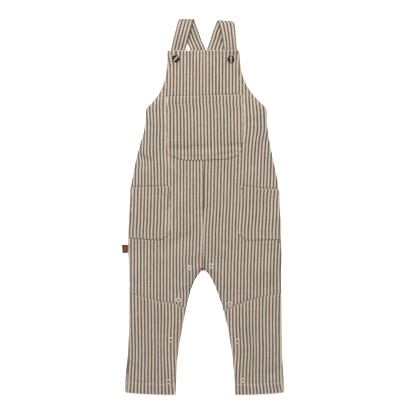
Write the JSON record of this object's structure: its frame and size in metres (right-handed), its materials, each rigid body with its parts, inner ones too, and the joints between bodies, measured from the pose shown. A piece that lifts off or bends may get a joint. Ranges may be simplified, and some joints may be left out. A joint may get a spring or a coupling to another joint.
{
  "type": "dungarees",
  "caption": "Small child's striped cotton dungarees laid flat, front up: bib with buttoned straps crossing under it, patch pockets, knee seams and snap inseams.",
  "frame": {"origin": "under the middle of the laid-out garment's outline, on the surface that it lies on", "axes": "+X across the garment to the viewer's right as it is seen from above, +Y up the garment from the hems towards the straps, +Z away from the surface, out of the front"},
  "size_m": [0.2933, 0.6779, 0.0081],
  "materials": {
    "striped_cotton": "matte woven cotton, narrow lengthwise stripes of grey-green and ecru",
    "button_horn": "dark brown horn-look resin, satin polish",
    "snap_enamel": "cream enamel on pressed ring snaps, satin",
    "tab_leather": "russet leather, matte, bare"
  },
  "bodies": {
    "root": {"front_left": "striped_cotton", "front_right": "striped_cotton", "shin_left": "striped_cotton", "shin_right": "striped_cotton", "back_left": "striped_cotton", "back_right": "striped_cotton", "chest_pocket": "striped_cotton", "side_pocket_left": "striped_cotton", "side_pocket_right": "striped_cotton", "strap_left": "striped_cotton", "strap_right": "striped_cotton", "button_left": "button_horn", "button_right": "button_horn", "snap_left_1": "snap_enamel", "snap_left_2": "snap_enamel", "snap_left_3": "snap_enamel", "snap_left_4": "snap_enamel", "snap_right_1": "snap_enamel", "snap_right_2": "snap_enamel", "snap_right_3": "snap_enamel", "snap_right_4": "snap_enamel", "side_tab": "tab_leather"}
  },
  "joints": []
}
